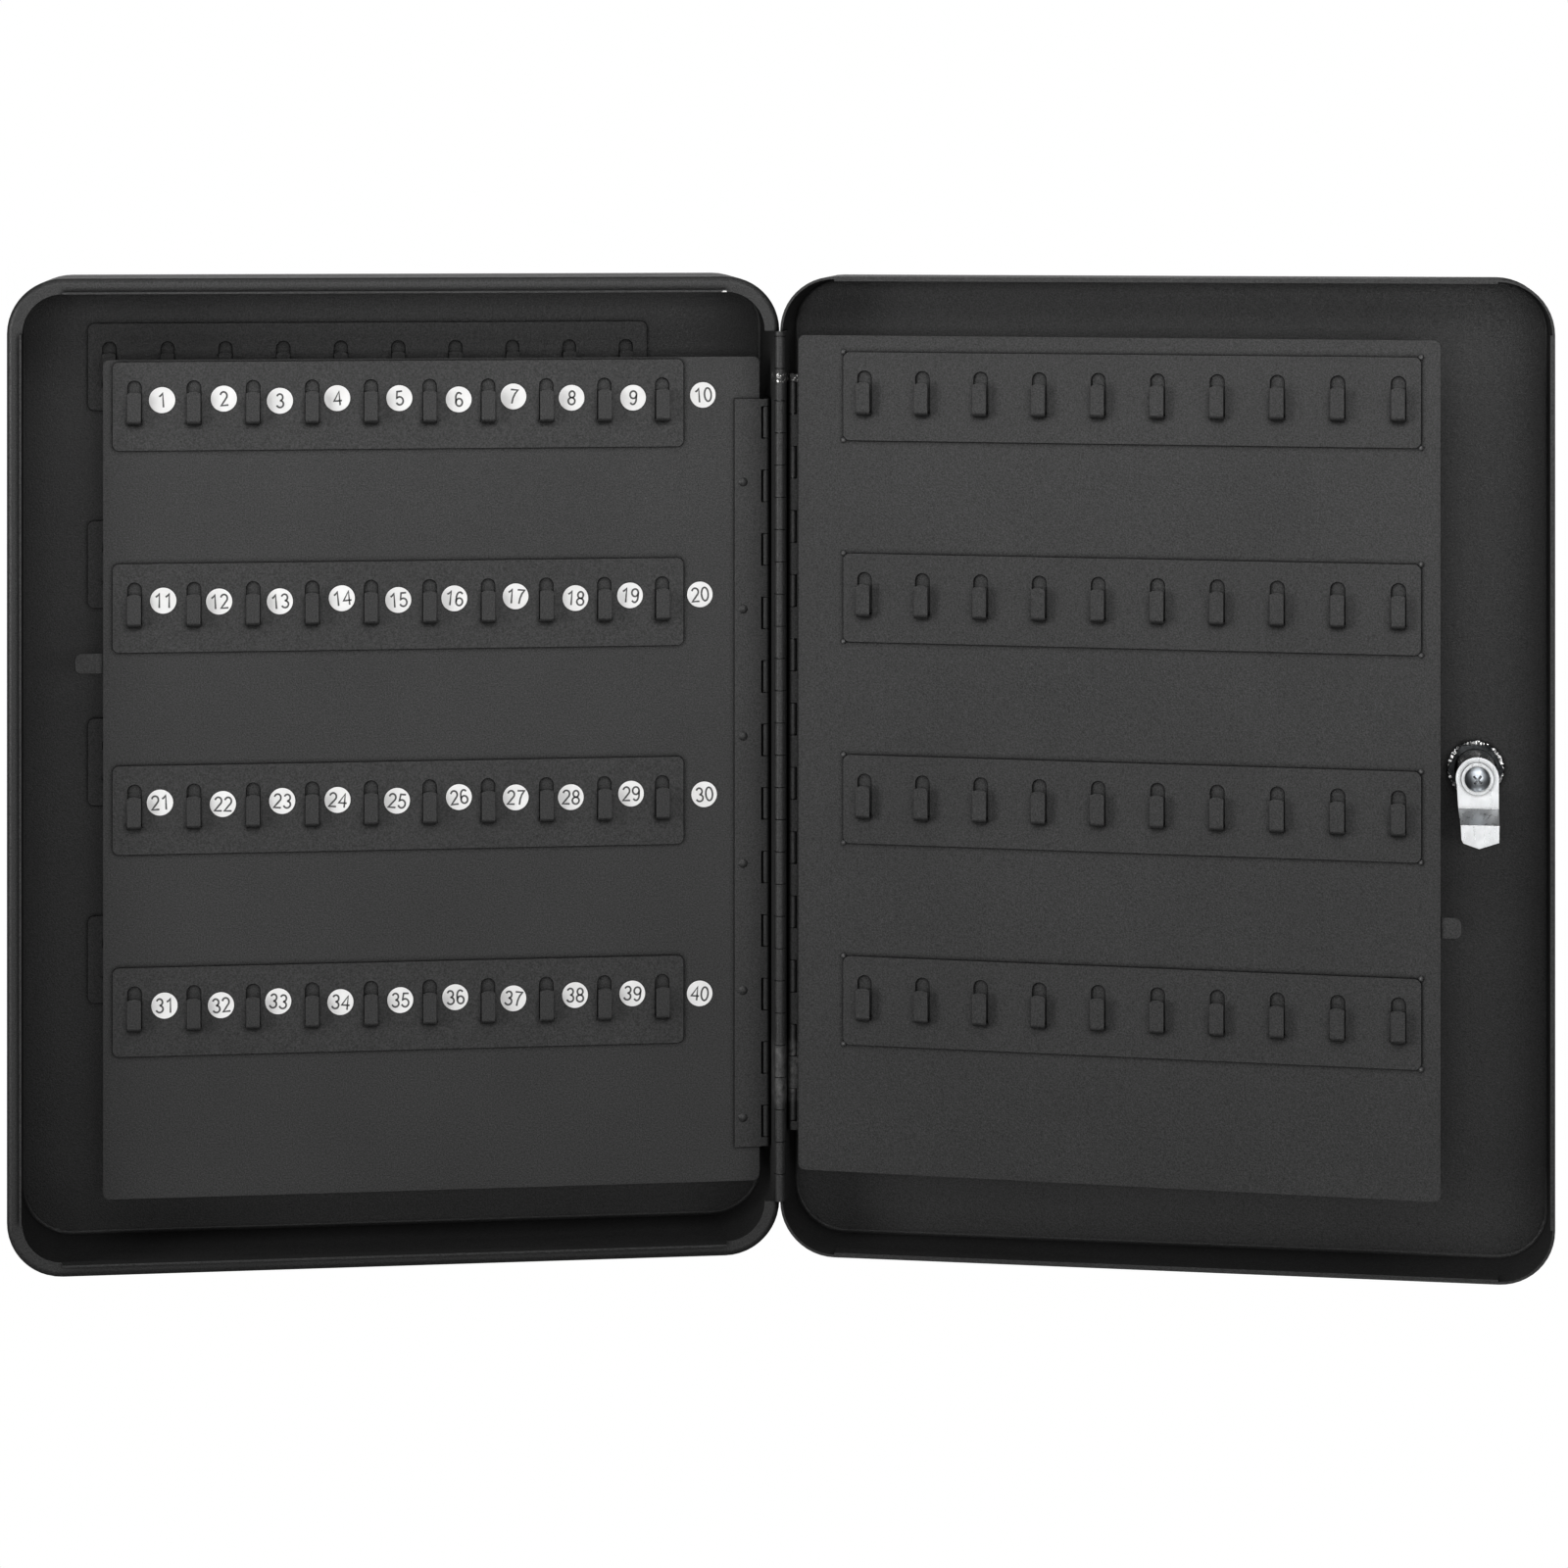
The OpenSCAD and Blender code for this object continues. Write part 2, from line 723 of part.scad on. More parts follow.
// The cam seen from the front, below its round end: one straight side, one tapering side, a blunt point.
module cam_front(a, b) {
    upright(-cam_t - 1, cam_crank + cam_t + 2) polygon([
        [-cam_w / 2 + 0.1, 1],
        [cam_w / 2 - 0.2, 1],
        [cam_w / 2 - 1.2, -a],
        [cam_w / 2 - 2, -b],
        [cam_w / 2 - 2.3, -cam_len + 4],
        [cam_w / 2 - 3.2, -cam_len + 2.4],
        [-0.5, -cam_len],
        [-cam_w / 2 + 0.3, -cam_len + 3],
        [-cam_w / 2 + 0.1, -b]
    ]);
}

module cam_washer() {
    color(zinc) on_lock(cam_y) translate([0, 0, -1.2]) difference() {
        cylinder(r = 7.2, h = 1.2);
        translate([0, 0, -1]) cylinder(r = 2.7, h = 4);
    }
}

module cam_screw() {
    color(zinc) on_lock(cam_y) translate([0, 0, -1.2]) difference() {
        union() {
            translate([0, 0, -2.8]) intersection() {
                cylinder(r = 5.6, h = 2.8);
                translate([0, 0, 8]) sphere(8, $fn = 64);
            }
            cylinder(r = 2.45, h = 7);
        }
        for (a = [40, 130]) {
            rotate([0, 0, a]) translate([-2.5, -0.5, -4]) cube([5, 1, 3]);
        }
    }
}

module key() {
    color(zinc) on_lock(door_face_y) translate([0, 0, bezel_t]) {
        translate([-key_t / 2, -key_h / 2, -22]) cube([key_t, key_h, 26]);
        translate([-key_t / 2, 0, 14]) rotate([0, 90, 0]) difference() {
            cylinder(r = 12, h = key_t);
            translate([-5.5, 0, -1]) cylinder(r = 3, h = key_t + 2);
        }
    }
}

// ---- panel 1 ----

module panel_1_sheet() {
    color(paint_light) in_panel_1() panel_sheet(
        panel_1_w, panel_1_bottom, panel_1_top, panel_1_rail_start, panel_1_rail_top, panel_1_hinge_z,
        true);
}

module panel_1_hinge_leaf() {
    color(paint_light) in_panel_1() panel_leaf(panel_1_hinge_z, 0);
}

module panel_1_hinge_rivets() {
    color(paint_light) in_panel_1() panel_leaf_rivets(panel_1_hinge_z);
}

module panel_1_rail_rivets() {
    color(paint_light) in_panel_1() panel_rivets(panel_1_rail_start, panel_1_rail_top);
}

module panel_1_finger_tab() {
    color(paint_light) in_panel_1() finger_tab(panel_1_w, 12.9, 48, plain_face);
}

// Forty white discs, one to the right of each hook, put on by hand. The last in each row sits on the sheet.
module number_discs() {
    color(white) in_panel_1() for (row = [0 : 3], i = [0 : 9]) {
        last = i == 9;
        hook_x = -panel_1_rail_start - rail_len + rail_margin + i * hook_pitch;
        x = hook_x + (last ? 18.6 : hook_pitch / 2 - 1);
        dx = disc_stray * sin(97 * i + 151 * row);
        dz = 0.6 * disc_stray * sin(131 * i + 61 * row);
        face = last ? leaf_face : leaf_face - rail_t;
        translate([x + dx, face, rail_z(panel_1_rail_top, row) - disc_drop + dz]) {
            rotate([90, 0, 0]) cylinder(r = disc_r, h = disc_t);
        }
    }
}

module panel_1_front_rail(i) {
    color(paint_light) in_panel_1() panel_leaf_side_rail(panel_1_rail_start, panel_1_rail_top, i, true);
}

module panel_1_back_rail(i) {
    color(paint_light) in_panel_1() panel_plain_side_rail(panel_1_rail_start, panel_1_rail_top, i, true);
}

module panel_1_front_rail_1() { panel_1_front_rail(0); }
module panel_1_front_rail_2() { panel_1_front_rail(1); }
module panel_1_front_rail_3() { panel_1_front_rail(2); }
module panel_1_front_rail_4() { panel_1_front_rail(3); }
module panel_1_back_rail_1() { panel_1_back_rail(0); }
module panel_1_back_rail_2() { panel_1_back_rail(1); }
module panel_1_back_rail_3() { panel_1_back_rail(2); }
module panel_1_back_rail_4() { panel_1_back_rail(3); }

// ---- panel 2 ----

module panel_2_sheet() {
    color(paint_light) on_panel_2() panel_sheet(
        panel_2_w, panel_2_bottom, panel_2_top, panel_2_rail_start, panel_2_rail_top, panel_2_hinge_z,
        false);
}

module panel_2_hinge_leaf() {
    color(paint_light) in_panel_2() panel_leaf(panel_2_hinge_z, 1);
}

module panel_2_hinge_rivets() {
    color(paint_light) on_panel_2() panel_leaf_rivets(panel_2_hinge_z);
}

module panel_2_rail_welds() {
    color(paint_light) on_panel_2() panel_welds(panel_2_rail_start, panel_2_rail_top);
}

module panel_2_finger_tab() {
    color(paint_light) on_panel_2() finger_tab(panel_2_w, 9.4, -64, leaf_face - panel_t);
}

module panel_2_front_rail(i) {
    color(paint_light) on_panel_2() panel_plain_side_rail(panel_2_rail_start, panel_2_rail_top, i, false);
}

module panel_2_back_rail(i) {
    color(paint_light) on_panel_2() panel_leaf_side_rail(panel_2_rail_start, panel_2_rail_top, i, false);
}

module panel_2_front_rail_1() { panel_2_front_rail(0); }
module panel_2_front_rail_2() { panel_2_front_rail(1); }
module panel_2_front_rail_3() { panel_2_front_rail(2); }
module panel_2_front_rail_4() { panel_2_front_rail(3); }
module panel_2_back_rail_1() { panel_2_back_rail(0); }
module panel_2_back_rail_2() { panel_2_back_rail(1); }
module panel_2_back_rail_3() { panel_2_back_rail(2); }
module panel_2_back_rail_4() { panel_2_back_rail(3); }

body_shell();
body_rail_1();
body_rail_2();
body_rail_3();
body_rail_4();
door_hinge_body_leaf();
door_hinge_pin();
panel_1_hinge_wall_leaf();
panel_1_hinge_pin();
door_shell();
door_hinge_door_leaf();
panel_2_hinge_wall_leaf();
panel_2_hinge_pin();
lock_body();
lock_nut();
lock_tooth_washer();
lock_plug();
lock_wafers();
lock_cam();
cam_washer();
cam_screw();
key();
panel_1_sheet();
panel_1_hinge_leaf();
panel_1_hinge_rivets();
panel_1_rail_rivets();
panel_1_finger_tab();
number_discs();
panel_1_front_rail_1();
panel_1_front_rail_2();
panel_1_front_rail_3();
panel_1_front_rail_4();
panel_1_back_rail_1();
panel_1_back_rail_2();
panel_1_back_rail_3();
panel_1_back_rail_4();
panel_2_sheet();
panel_2_hinge_leaf();
panel_2_hinge_rivets();
panel_2_rail_welds();
panel_2_finger_tab();
panel_2_front_rail_1();
panel_2_front_rail_2();
panel_2_front_rail_3();
panel_2_front_rail_4();
panel_2_back_rail_1();
panel_2_back_rail_2();
panel_2_back_rail_3();
panel_2_back_rail_4();
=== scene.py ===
"""Wall key cabinet standing open: door folded back, two leaves of hook rails, numbered discs and a cam lock.

Every length is in metres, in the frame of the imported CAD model.
"""

import json
import math
import random

import bmesh
import bpy
from mathutils import Matrix, Vector


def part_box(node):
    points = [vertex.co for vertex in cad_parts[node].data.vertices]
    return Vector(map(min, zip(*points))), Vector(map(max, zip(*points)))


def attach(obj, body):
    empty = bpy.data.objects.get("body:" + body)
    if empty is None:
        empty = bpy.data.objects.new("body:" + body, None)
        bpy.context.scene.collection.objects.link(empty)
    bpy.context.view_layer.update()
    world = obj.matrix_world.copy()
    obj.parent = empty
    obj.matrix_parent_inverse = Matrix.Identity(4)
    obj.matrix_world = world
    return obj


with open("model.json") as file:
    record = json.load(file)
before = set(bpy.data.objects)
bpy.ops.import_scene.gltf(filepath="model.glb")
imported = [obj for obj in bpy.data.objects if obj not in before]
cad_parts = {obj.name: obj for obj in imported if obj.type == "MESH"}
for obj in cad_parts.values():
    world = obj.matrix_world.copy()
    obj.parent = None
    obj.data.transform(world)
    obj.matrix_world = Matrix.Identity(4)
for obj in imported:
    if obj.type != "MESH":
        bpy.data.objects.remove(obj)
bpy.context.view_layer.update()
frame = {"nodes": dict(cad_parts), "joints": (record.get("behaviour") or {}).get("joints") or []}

MM = 0.001
NODES = frame["nodes"]
JOINTS = {joint["name"]: joint for joint in frame["joints"]}

# Camera: a long lens in front of the cabinet, level, above its top edge, shifted down to frame it.
CAMERA_YAW = math.radians(6.6)
CAMERA_DISTANCE = 1.798
CAMERA_HEIGHT = 0.2757
CAMERA_SIDE = 0.0018
LENS_SHIFT = -0.394
FOCAL_LENGTH_MM = 89.8
# Beyond this distance from its place the camera loses its lens shift.
HOME_RADIUS = 0.05

FLOOR_Z = -0.95
FLOOR_HALF_WIDTH = 14.0
DISPLAY_GAMMA = 0.77
STRAY_LIGHT = 0.02

# Soft boxes: name, place, width, height, watts. All point at LIT_POINT.
LIT_POINT = Vector((0.17, -0.07, 0))
LIGHTS = (
    ("front", (0.25, -2.6, 0.3), 2.4, 0.6, 25.6),
    ("front_low", (0.1, -2.3, -0.6), 1.8, 0.6, 4.9),
    ("left", (-1.8, -1.2, 0.3), 0.8, 1.4, 34),
    ("overhead", (0.17, -0.3, 1.8), 2.0, 1.0, 11.5),
    ("overhead_near", (0.15, -0.9, 0.7), 1.2, 0.4, 6.4),
    ("behind", (0.2, 2.4, -0.35), 2.0, 0.8, 24),
    ("behind_high", (0.2, 2.2, 0.9), 2.0, 1.2, 9),
)

# Heights between which the hinge knuckles have rubbed bare and rubbed dull.
BARE_BAND = (0.1770, 0.1800)
DULL_BAND = (-0.152, -0.130)

NUMERAL_HEIGHT = 6.9 * MM
INK_HEIGHT = 0.03 * MM
NUMERAL_TILT = 7  # degrees either way
DISCS_IN_ROW = 10
WELD_DISTANCE = 0.002 * MM


# ---------------------------------------------------------------- node helpers

class Tree:
    """A thin wrapper that builds a node material one call per node."""

    def __init__(self, name):
        self.material = bpy.data.materials.new(name)
        self.material.use_nodes = True
        self.nodes = self.material.node_tree.nodes
        self.links = self.material.node_tree.links
        self.nodes.clear()
        self.output = self.nodes.new("ShaderNodeOutputMaterial")
        self.shader = self.nodes.new("ShaderNodeBsdfPrincipled")
        self.links.new(self.shader.outputs[0], self.output.inputs["Surface"])
        self.coords = self.nodes.new("ShaderNodeTexCoord").outputs["Object"]

    def plug(self, value, socket):
        """Links value when it is a socket, otherwise stores it as the socket's default."""
        if isinstance(value, bpy.types.NodeSocket):
            self.links.new(value, socket)
        else:
            socket.default_value = value

    def set(self, name, value):
        self.plug(value, self.shader.inputs[name])

    def math(self, operation, a, b):
        node = self.nodes.new("ShaderNodeMath")
        node.operation = operation
        self.plug(a, node.inputs[0])
        self.plug(b, node.inputs[1])
        return node.outputs[0]

    def vector(self, operation, a, b=(0.0, 0.0, 0.0), output=0):
        node = self.nodes.new("ShaderNodeVectorMath")
        node.operation = operation
        self.plug(a, node.inputs[0])
        self.plug(b, node.inputs[1])
        return node.outputs[output]

    def stretch(self, factors):
        """Object coordinates multiplied along each axis, for grain that runs one way."""
        return self.vector("MULTIPLY", self.coords, factors)

    def noise(self, scale, detail=2.0, roughness=0.5, at=None):
        node = self.nodes.new("ShaderNodeTexNoise")
        node.inputs["Scale"].default_value = scale
        node.inputs["Detail"].default_value = detail
        node.inputs["Roughness"].default_value = roughness
        self.plug(at or self.coords, node.inputs["Vector"])
        return node.outputs["Fac"]

    def cells(self, scale, output="Distance"):
        node = self.nodes.new("ShaderNodeTexVoronoi")
        node.inputs["Scale"].default_value = scale
        self.plug(self.coords, node.inputs["Vector"])
        return node.outputs[output]

    def ramp(self, value, low, high, start=0.0, end=1.0):
        """Value mapped from low..high to start..end, clamped."""
        node = self.nodes.new("ShaderNodeMapRange")
        node.clamp = True
        for name, number in (("From Min", low), ("From Max", high), ("To Min", start), ("To Max", end)):
            node.inputs[name].default_value = number
        self.plug(value, node.inputs["Value"])
        return node.outputs["Result"]

    def mix(self, factor, a, b):
        node = self.nodes.new("ShaderNodeMix")
        node.data_type = "RGBA"
        self.plug(factor, node.inputs[0])
        self.plug(a, node.inputs[6])
        self.plug(b, node.inputs[7])
        return node.outputs[2]

    def blend_values(self, factor, a, b):
        node = self.nodes.new("ShaderNodeMix")
        node.data_type = "FLOAT"
        self.plug(factor, node.inputs[0])
        self.plug(a, node.inputs[2])
        self.plug(b, node.inputs[3])
        return node.outputs[0]

    def edge(self, radius):
        """1 on edges within the radius, 0 on flat faces."""
        bevel = self.nodes.new("ShaderNodeBevel")
        bevel.samples = 2
        bevel.inputs["Radius"].default_value = radius
        true_normal = self.nodes.new("ShaderNodeNewGeometry").outputs["True Normal"]
        alike = self.vector("DOT_PRODUCT", bevel.outputs[0], true_normal, output=1)
        return self.ramp(alike, 0.98, 0.75)

    def open_sky(self, distance):
        """1 in the open, 0 deep in a crevice narrower than the distance."""
        node = self.nodes.new("ShaderNodeAmbientOcclusion")
        node.samples = 2
        node.only_local = False
        node.inputs["Distance"].default_value = distance
        return node.outputs["AO"]

    def bump(self, height, distance, strength=1.0):
        node = self.nodes.new("ShaderNodeBump")
        node.inputs["Strength"].default_value = strength
        node.inputs["Distance"].default_value = distance
        self.plug(height, node.inputs["Height"])
        self.set("Normal", node.outputs[0])

    def near(self, centre, radius, softness=0.3):
        """1 within the radius of a point, falling to 0."""
        away = self.vector("DISTANCE", self.coords, tuple(centre), output=1)
        return self.ramp(away, radius * (1 + softness), radius * (1 - softness))

    def height_band(self, low, high, soft=1.0 * MM):
        """1 between two heights, with soft ends."""
        z = self.nodes.new("ShaderNodeSeparateXYZ")
        self.plug(self.coords, z.inputs[0])
        rise = self.ramp(z.outputs["Z"], low - soft, low)
        fall = self.ramp(z.outputs["Z"], high + soft, high)
        return self.math("MULTIPLY", rise, fall)


def grey(level, warmth=0.0):
    """Linear colour from one sRGB level out of 255, warmer above zero and cooler below."""
    s = level / 255.0
    linear = s / 12.92 if s <= 0.04045 else ((s + 0.055) / 1.055) ** 2.4
    return (linear * (1 + warmth), linear, linear * (1 - warmth), 1.0)


# ---------------------------------------------------------------- materials

def powder_coat(name, level, bare=None, shade=0.04):
    """Satin black powder coat: fine pebble grain, speckle, soft blotches, edges lightened by rubbing and by
    a painted highlight, and painted shade in crevices.

    bare takes the tree and returns a mask of where the coat is chipped to steel. shade is how much of the
    tone is left in crevices, where the colour and the reflection carry painted shade."""
    t = Tree(name)
    grain = t.noise(1100.0, 3.0, 0.6)
    pebble = t.cells(1300.0)
    speckle = t.ramp(t.noise(1500.0, 2.0), 0.3, 0.7, 0.5, 1.6)
    blotch = t.ramp(t.noise(14.0, 3.0), 0.3, 0.7, 0.92, 1.08)
    # painted shade: ambient occlusion darkens the coat's colour and its reflection in crevices and along
    # joints
    crevice = t.ramp(t.open_sky(2.6 * MM), 0.42, 0.9, shade, 1.0)
    tone = t.math("MULTIPLY", t.math("MULTIPLY", speckle, blotch), crevice)
    coat = t.vector("SCALE", grey(level)[:3])
    t.plug(tone, coat.node.inputs["Scale"])
    # edges lightened partly as coat rubbed thin, partly as a painted highlight where the edges catch the
    # light
    wear_and_edge_highlight_noise = t.ramp(t.noise(260.0, 4.0, 0.65), 0.42, 0.62)
    wear_and_edge_highlight = t.math("MULTIPLY", t.edge(0.3 * MM), t.ramp(wear_and_edge_highlight_noise, 0.0, 1.0, 0.15, 0.6))
    colour = t.mix(wear_and_edge_highlight, coat, grey(level + 34))
    rough = t.ramp(t.noise(900.0, 2.0), 0.3, 0.7, 0.42, 0.56)
    if bare:
        chip = bare(t)
        colour = t.mix(chip, colour, grey(235, 0.01))
        rough = t.blend_values(chip, rough, 0.3)
        t.set("Metallic", chip)
    t.set("Base Color", colour)
    t.set("Roughness", rough)
    t.set("Specular IOR Level", t.math("MULTIPLY", crevice, 0.55))
    t.bump(t.math("ADD", t.math("MULTIPLY", grain, 0.7), t.math("MULTIPLY", pebble, 0.5)), 0.09 * MM, 0.9)
    return t.material


def bright_metal(name, level, rough, scratch_axis, tint=0.0):
    """Plated or nickel steel: fine one-way scratches, cloudy patches, worn edges and painted shade in
    crevices.
    """
    t = Tree(name)
    lines = t.noise(900.0, 3.0, 0.7, at=t.stretch(scratch_axis))
    cloud = t.noise(160.0, 3.0)
    pits = t.ramp(t.cells(700.0), 0.04, 0.12, 0.75, 1.0)
    tone = t.math("MULTIPLY", t.ramp(cloud, 0.3, 0.7, 0.88, 1.06), pits)
    metal = t.vector("SCALE", grey(level, tint)[:3])
    t.plug(tone, metal.node.inputs["Scale"])
    # painted shade: ambient occlusion turns the metal's colour to dark grey in crevices and joints
    painted_shade_blend = t.ramp(t.open_sky(1.6 * MM), 0.3, 0.92)
    base = t.mix(painted_shade_blend, grey(62, tint), metal)
    worn = t.mix(t.edge(0.25 * MM), base, grey(min(level + 20, 250)))
    t.set("Base Color", worn)
    t.set("Metallic", 1.0)
    t.set("Roughness", t.ramp(lines, 0.3, 0.7, rough * 0.8, rough * 1.35))
    t.bump(lines, 0.02 * MM, 0.35)
    return t.material


def blackened_steel(name):
    """Dark oxide on the big hexagon nut, greasy and uneven."""
    t = Tree(name)
    cloud = t.noise(220.0, 4.0, 0.6)
    t.set("Base Color", t.mix(t.ramp(cloud, 0.35, 0.7), grey(38, -0.08), grey(84, -0.04)))
    t.set("Metallic", 0.85)
    t.set("Roughness", t.ramp(cloud, 0.3, 0.7, 0.22, 0.42))
    t.bump(t.noise(1200.0, 3.0), 0.03 * MM, 0.5)
    return t.material


def chipped_plating(name):
    """Torn plating at the edge of the nut: bright flakes with dark gaps."""
    t = Tree(name)
    flake = t.cells(1300.0, output="Color")
    split = t.nodes.new("ShaderNodeSeparateColor")
    t.plug(flake, split.inputs[0])
    t.set("Base Color", t.mix(t.ramp(split.outputs[0], 0.15, 0.6), grey(96), grey(246)))
    t.set("Metallic", 0.9)
    t.set("Roughness", t.ramp(split.outputs[1], 0.0, 1.0, 0.2, 0.55))
    t.bump(split.outputs[2], 0.12 * MM, 0.8)
    return t.material


def disc_vinyl(name):
    """White vinyl of the number discs, slightly matt, with painted shade at the rim."""
    t = Tree(name)
    fibre = t.noise(1800.0, 2.0)
    stain = t.ramp(t.noise(120.0, 4.0), 0.35, 0.75)
    # painted shade: ambient occlusion darkens the vinyl near its rim, where the disc sits on the rail
    rim = t.ramp(t.open_sky(1.5 * MM), 0.3, 0.9, 0.75, 1.0)
    paper = t.mix(stain, grey(226, 0.004), grey(216, 0.008))
    colour = t.vector("SCALE", paper)
    t.plug(rim, colour.node.inputs["Scale"])
    t.set("Base Color", colour)
    t.set("Roughness", t.ramp(fibre, 0.3, 0.7, 0.42, 0.58))
    t.bump(fibre, 0.015 * MM, 0.4)
    return t.material


def disc_ink(name):
    """Grey printed ink of the numbers, a little broken up."""
    t = Tree(name)
    wear = t.ramp(t.noise(1500.0, 2.0), 0.35, 0.7)
    t.set("Base Color", t.mix(wear, grey(72), grey(98)))
    t.set("Roughness", t.ramp(wear, 0.0, 1.0, 0.5, 0.65))
    t.bump(wear, 0.01 * MM, 0.3)
    return t.material


def brass(name):
    """Stamped brass of the lock wafers."""
    t = Tree(name)
    cloud = t.noise(300.0, 3.0)
    t.set("Base Color", t.mix(cloud, (0.62, 0.42, 0.14, 1), (0.8, 0.6, 0.28, 1)))
    t.set("Metallic", 1.0)
    t.set("Roughness", t.ramp(cloud, 0.3, 0.7, 0.25, 0.42))
    t.bump(cloud, 0.02 * MM, 0.3)
    return t.material


def pale_floor(name):
    """Studio paper: blown out to white for the camera, dull for the light that bounces off it."""
    t = Tree(name)
    grain = t.noise(60.0, 3.0)
    t.set("Base Color", t.mix(grain, grey(120), grey(132)))
    t.set("Roughness", t.ramp(grain, 0.3, 0.7, 0.85, 0.95))
    seen = t.nodes.new("ShaderNodeEmission")
    path = t.nodes.new("ShaderNodeLightPath")
    switch = t.nodes.new("ShaderNodeMixShader")
    t.links.new(path.outputs["Is Camera Ray"], switch.inputs[0])
    t.links.new(t.shader.outputs[0], switch.inputs[1])
    t.links.new(seen.outputs[0], switch.inputs[2])
    t.links.new(switch.outputs[0], t.output.inputs["Surface"])
    return t.material


def corner_chip(t):
    """A flake of paint missing where the rim's lip ends, near the hinge-side top corner."""
    shell_low, shell_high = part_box("body_shell")
    spot = Vector((shell_high.x - 26 * MM, shell_low.y + 1 * MM, shell_high.z - 7.6 * MM))
    ragged = t.ramp(t.noise(700.0, 3.0), 0.36, 0.44)
    return t.math("MULTIPLY", t.near(spot, 1.6 * MM), ragged)


def knuckle_scuffs(t):
    """Where the knuckles chafe: specks of bare steel near the top, a dull wear near the bottom."""
    ragged = t.ramp(t.noise(640.0, 4.0, 0.7), 0.54, 0.64)
    upper = t.math("MULTIPLY", t.height_band(*BARE_BAND), ragged)
    dull = t.ramp(t.noise(300.0, 3.0, 0.6), 0.34, 0.7, 0.0, 0.11)
    return t.math("MAXIMUM", upper, t.math("MULTIPLY", t.height_band(*DULL_BAND, 4 * MM), dull))


def make_materials():
    """Material for each slot name of the record, and for the pieces that are made here."""
    return {
        # painted shade: the cabinet's coat is the panels' paint set darker (50 against 54) for its shaded
        # inside
        "cabinet_powder_coat": powder_coat("coat_cabinet", 50, corner_chip),
        "panel_powder_coat": powder_coat("coat_panels", 54),
        "rail_powder_coat": powder_coat("coat_rails", 54),
        "hinge_coat": powder_coat("coat_hinges", 54, knuckle_scuffs),
        "hinge_pin_steel": bright_metal("pin_steel", 150, 0.35, (1, 1, 0.1)),
        "zinc_plated_steel": bright_metal("zinc", 212, 0.3, (1, 1, 0.08), -0.012),
        "screw": bright_metal("screw_zinc", 200, 0.42, (1, 1, 0.3), -0.05),
        # painted highlight: the welds' coat is the rail paint set lighter (84 against 54), with less crevice
        # shade, for their bright tips
        "weld": powder_coat("coat_welds", 84, shade=0.75),
        "dark_nut_steel": blackened_steel("nut_oxide"),
        "lock_nickel": bright_metal("nickel", 205, 0.25, (0.1, 1, 1), 0.015),
        "key_nickel": bright_metal("key_nickel", 212, 0.28, (1, 0.1, 1), 0.02),
        "wafer_brass": brass("wafer_brass"),
        "number_disc_white": disc_vinyl("vinyl"),
        "chipped_edge": chipped_plating("chipped_plating"),
        "ink": disc_ink("ink"),
        "floor": pale_floor("studio_paper"),
    }


# Nodes whose finish differs from the rest of their material slot.
SPECIAL_FINISH = {
    "door_hinge_body_leaf": "hinge_coat", "door_hinge_door_leaf": "hinge_coat",
    "panel_2_hinge_wall_leaf": "hinge_coat", "panel_2_hinge_leaf": "hinge_coat",
    "panel_2_rail_welds": "weld", "cam_screw": "screw",
}


def finish_cad_nodes(materials):
    """Gives each CAD node its material and rolls its sharp edges over."""
    for name, node in NODES.items():
        slot = node.data.materials[0].name.split(".")[0]
        node.data.materials[0] = materials[SPECIAL_FINISH.get(name, slot)]
        soften(node, edge_radius(name))


def edge_radius(name):
    """Radius of the rolled-over edges of a node."""
    if name == "number_discs":
        return 0.04 * MM
    if name.startswith(("lock_", "cam_", "key")):
        return 0.12 * MM
    if "rivets" in name or "pin" in name:
        return 0.1 * MM
    return 0.28 * MM


def soften(obj, radius):
    """Joins the split faces, clears flat seams, bevels the sharp edges and keeps the flats flat."""
    weld = obj.modifiers.new("weld", "WELD")
    weld.merge_threshold = WELD_DISTANCE
    flats = obj.modifiers.new("flats", "DECIMATE")
    flats.decimate_type = "DISSOLVE"
    flats.angle_limit = math.radians(0.4)
    bevel = obj.modifiers.new("bevel", "BEVEL")
    bevel.width = radius
    bevel.segments = 2
    bevel.limit_method = "ANGLE"
    bevel.angle_limit = math.radians(32)
    bevel.use_clamp_overlap = True
    normals = obj.modifiers.new("normals", "WEIGHTED_NORMAL")
    normals.keep_sharp = False
    normals.weight = 80


# ---------------------------------------------------------------- pieces made here

def mesh_object(name, bm, material, body):
    mesh = bpy.data.meshes.new(name)
    bm.to_mesh(mesh)
    bm.free()
    obj = bpy.data.objects.new(name, mesh)
    bpy.context.scene.collection.objects.link(obj)
    mesh.materials.append(material)
    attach(obj, body)
    return obj


def disc_centres():
    """Centre of each number disc's front face, row by row from the top and then along the row."""
    bm = bmesh.new()
    bm.from_mesh(NODES["number_discs"].data)
    bmesh.ops.remove_doubles(bm, verts=bm.verts, dist=WELD_DISTANCE)
    left = set(bm.verts)
    found = []
    while left:
        island = {left.pop()}
        front = set(island)
        while front:
            front = {e.other_vert(v) for v in front for e in v.link_edges} & left
            left -= front
            island |= front
        low = Vector(min(v.co[i] for v in island) for i in range(3))
        high = Vector(max(v.co[i] for v in island) for i in range(3))
        found.append(Vector(((low.x + high.x) / 2, low.y, (low.z + high.z) / 2)))
    bm.free()
    found.sort(key=lambda c: -c.z)
    starts = range(0, len(found), DISCS_IN_ROW)
    rows = [sorted(found[i:i + DISCS_IN_ROW], key=lambda c: c.x) for i in starts]
    return [centre for row in rows for centre in row]


